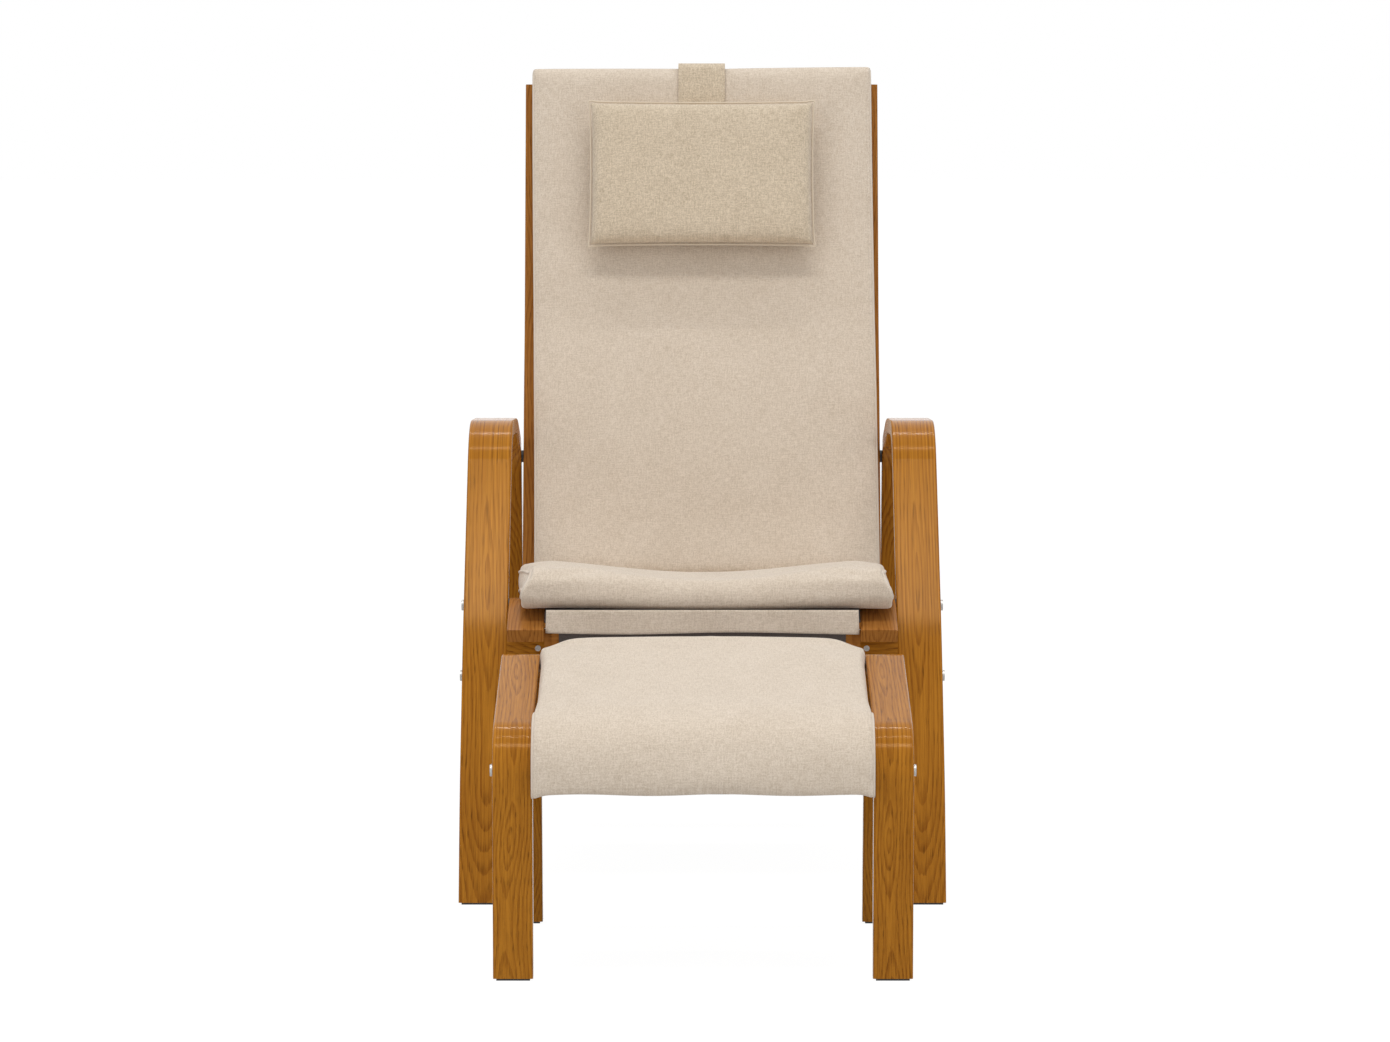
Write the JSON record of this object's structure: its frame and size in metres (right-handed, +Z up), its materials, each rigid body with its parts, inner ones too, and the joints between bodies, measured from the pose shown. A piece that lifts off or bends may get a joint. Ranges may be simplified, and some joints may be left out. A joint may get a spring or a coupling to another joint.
{
  "type": "recliner",
  "caption": "Bentwood high-back lounge recliner with linen seat and back cushions, strap-hung head pillow and matching footstool.",
  "frame": {"origin": "on the floor under the middle of the chair and footstool together", "axes": "+X to the right seen from the front, +Y from the footstool towards the back of the chair, +Z up"},
  "size_m": [0.6864, 1.421, 1.1335],
  "materials": {
    "oak": "satin lacquered",
    "rail_oak": "satin lacquered",
    "zinc_steel": "zinc plated",
    "brass_insert": "machined",
    "black_plastic": "matte",
    "black_canvas": "coarse canvas",
    "linen_cover": "mottled linen weave",
    "pillow_cloth": "coarse boucle weave"
  },
  "bodies": {
    "chair_base": {"left_arm_frame": "oak", "right_arm_frame": "oak", "front_stretcher": "oak", "rear_stretcher": "oak", "stretcher_bolts": "zinc_steel", "stretcher_screws": "zinc_steel", "stretcher_barrel_nuts": "zinc_steel", "chair_foot_glides": "black_plastic"},
    "seat_shell": {"left_shell_rail": "rail_oak", "right_shell_rail": "rail_oak", "front_cross_rail": "rail_oak", "cross_rail_screws": "zinc_steel", "seat_slat": "rail_oak", "lumbar_slat": "rail_oak", "top_slat": "rail_oak", "slat_screws": "zinc_steel", "pivot_bolts": "zinc_steel", "pivot_spacers": "black_plastic", "pivot_inserts": "brass_insert", "recline_studs": "zinc_steel", "recline_spacers": "black_plastic", "recline_inserts": "brass_insert", "left_recline_knob": "black_plastic", "right_recline_knob": "black_plastic", "support_canvas": "black_canvas", "seat_cushion": "linen_cover", "back_cushion": "linen_cover", "front_flap": "linen_cover", "strap_over": "pillow_cloth"},
    "pillow": {"head_pillow": "pillow_cloth", "strap_front": "pillow_cloth"},
    "counterweight": {"strap_back": "pillow_cloth", "strap_weight": "pillow_cloth"},
    "footstool": {"left_stool_frame": "oak", "right_stool_frame": "oak", "stool_front_rail": "oak", "stool_rear_rail": "oak", "stool_bolts": "zinc_steel", "stool_barrel_nuts": "zinc_steel", "stool_foot_glides": "black_plastic", "stool_canvas": "black_canvas", "stool_cushion": "linen_cover"}
  },
  "joints": [
    {"name": "shell_recline", "type": "hinge", "parent": "chair_base", "child": "seat_shell", "pos_m": [0, 0.01021, 0.38502], "axis": [-1, 0, 0], "range_deg": [0, 10]},
    {"name": "pillow_slide", "type": "slide", "parent": "seat_shell", "child": "pillow", "axis": [0, -0.2334, -0.9724], "range_m": [-0.015, 0.07], "deforming": ["strap_front"]},
    {"name": "counterweight_slide", "type": "slide", "parent": "seat_shell", "child": "counterweight", "axis": [0, 0.2334, 0.9724], "range_m": [-0.015, 0.07], "deforming": ["strap_back"]},
    {"name": "footstool_slide", "type": "slide", "parent": "chair_base", "child": "footstool", "axis": [0, -1, 0], "range_m": [-0.06, 0.25]}
  ],
  "couplings": [
    {"joint": "counterweight_slide", "follows": "pillow_slide", "ratio": 1}
  ]
}
